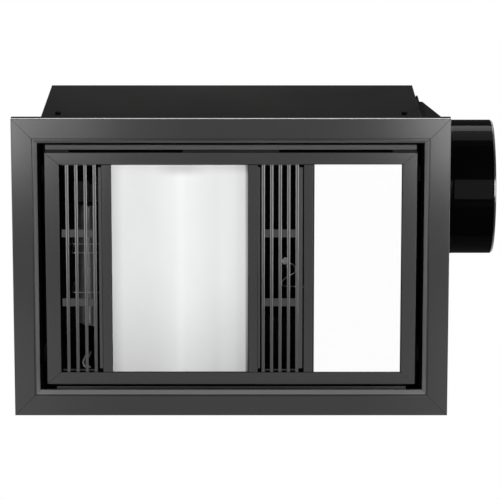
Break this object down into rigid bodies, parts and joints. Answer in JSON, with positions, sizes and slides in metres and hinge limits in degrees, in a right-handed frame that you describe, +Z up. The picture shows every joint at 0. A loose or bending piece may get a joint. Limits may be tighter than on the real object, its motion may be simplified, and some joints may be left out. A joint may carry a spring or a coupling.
{
  "type": "ceiling heater, light and exhaust fan",
  "caption": "Ceiling unit with a mitred trim frame, a floating panel holding a heater window, a light and air grilles, a box housing and a round side duct spigot.",
  "frame": {"origin": "middle of the trim frame in the ceiling plane, where the back of the trim frame meets the ceiling", "axes": "+Z up into the roof space, +X towards the duct spigot, +Y along the shorter side; the room side faces -Z"},
  "size_m": [0.5236, 0.328, 0.2964],
  "materials": {
    "trim_finish": "satin dark grey powder coat",
    "panel_finish": "satin dark grey powder coat",
    "grille_finish": "satin dark grey powder coat",
    "housing_black": "satin black powder coat on sheet steel",
    "duct_black": "gloss black",
    "black_plastic": "matte black",
    "foam": "closed-cell foam",
    "silicone": "translucent silicone",
    "frosted_glass": "frosted, toughened",
    "diffuser": "opal",
    "white_metal": "white powder coat",
    "board": "white solder resist",
    "driver_white": "matte white",
    "galvanised": "galvanised",
    "bright_steel": "ground",
    "zinc_screws": "zinc plated",
    "black_screws": "black oxide",
    "aluminium": "mill finish",
    "bright_reflector": "polished",
    "motor_steel": "plated",
    "laminations": "varnished stack",
    "winding": "varnished copper wire",
    "bearing_bronze": "sintered bronze",
    "nylon": "black nylon",
    "quartz": "clear quartz",
    "porcelain": "unglazed"
  },
  "bodies": {
    "housing": {"trim_rail_front": "trim_finish", "trim_rail_back": "trim_finish", "trim_rail_left": "trim_finish", "trim_rail_right": "trim_finish", "trim_corner_keys": "aluminium", "trim_screws": "zinc_screws", "latch_blocks": "nylon", "housing_wrap": "housing_black", "housing_end_left": "housing_black", "housing_end_right": "housing_black", "housing_screws": "black_screws", "deck_plate": "galvanised", "duct_gasket": "foam", "duct_flange": "duct_black", "duct_adaptor": "duct_black", "duct_spigot": "duct_black", "flange_screws": "black_screws", "damper_rod": "bright_steel", "inlet_ring": "galvanised", "scroll_wall": "galvanised", "scroll_lid": "galvanised", "motor_case": "motor_steel", "motor_stator": "winding", "motor_bearings": "bright_steel", "fan_end_front": "galvanised", "fan_end_back": "galvanised", "fan_casing": "black_plastic", "fan_motor": "laminations", "fan_bearing": "bearing_bronze", "reflector": "bright_reflector", "reflector_hangers": "zinc_screws", "heat_lamps": "quartz", "lamp_caps": "porcelain", "lamp_holders": "zinc_screws", "terminal_box": "black_plastic", "terminal_lid": "black_plastic"},
    "panel": {"bezel_rail_front": "panel_finish", "bezel_rail_back": "panel_finish", "bezel_rail_left": "panel_finish", "bezel_rail_right": "panel_finish", "mullion_left": "panel_finish", "mullion_middle": "panel_finish", "mullion_right": "panel_finish", "grille_left": "grille_finish", "grille_right": "grille_finish", "glass_gasket": "silicone", "glass_clips": "zinc_screws", "light_diffuser": "diffuser", "light_tray": "white_metal", "light_board": "board", "light_driver": "driver_white", "heater_glass": "frosted_glass", "panel_posts": "bright_steel"},
    "exhaust_rotor": {"exhaust_impeller": "galvanised", "exhaust_shaft": "bright_steel", "motor_rotor": "laminations"},
    "fan_rotor": {"fan_wheel": "aluminium", "fan_shaft": "bright_steel"},
    "blade_front": {"damper_blade_front": "aluminium"},
    "blade_back": {"damper_blade_back": "aluminium"}
  },
  "joints": [
    {"name": "panel_drop", "type": "slide", "parent": "housing", "child": "panel", "axis": [0, 0, -1], "range_m": [0, 0.04]},
    {"name": "exhaust_spin", "type": "hinge", "parent": "housing", "child": "exhaust_rotor", "pos_m": [0.06, 0.02, 0.112], "axis": [0, 0, 1], "continuous": true},
    {"name": "fan_spin", "type": "hinge", "parent": "housing", "child": "fan_rotor", "pos_m": [-0.1475, 0.005, 0.039], "axis": [0, 1, 0], "continuous": true},
    {"name": "damper_front", "type": "hinge", "parent": "housing", "child": "blade_front", "pos_m": [0.21485, -0.065, 0.112], "axis": [0, 0, 1], "range_deg": [0, 80], "stiffness_Nm_per_rad": 0.01},
    {"name": "damper_back", "type": "hinge", "parent": "housing", "child": "blade_back", "pos_m": [0.21485, -0.065, 0.112], "axis": [0, 0, 1], "range_deg": [-80, 0], "stiffness_Nm_per_rad": 0.01}
  ]
}
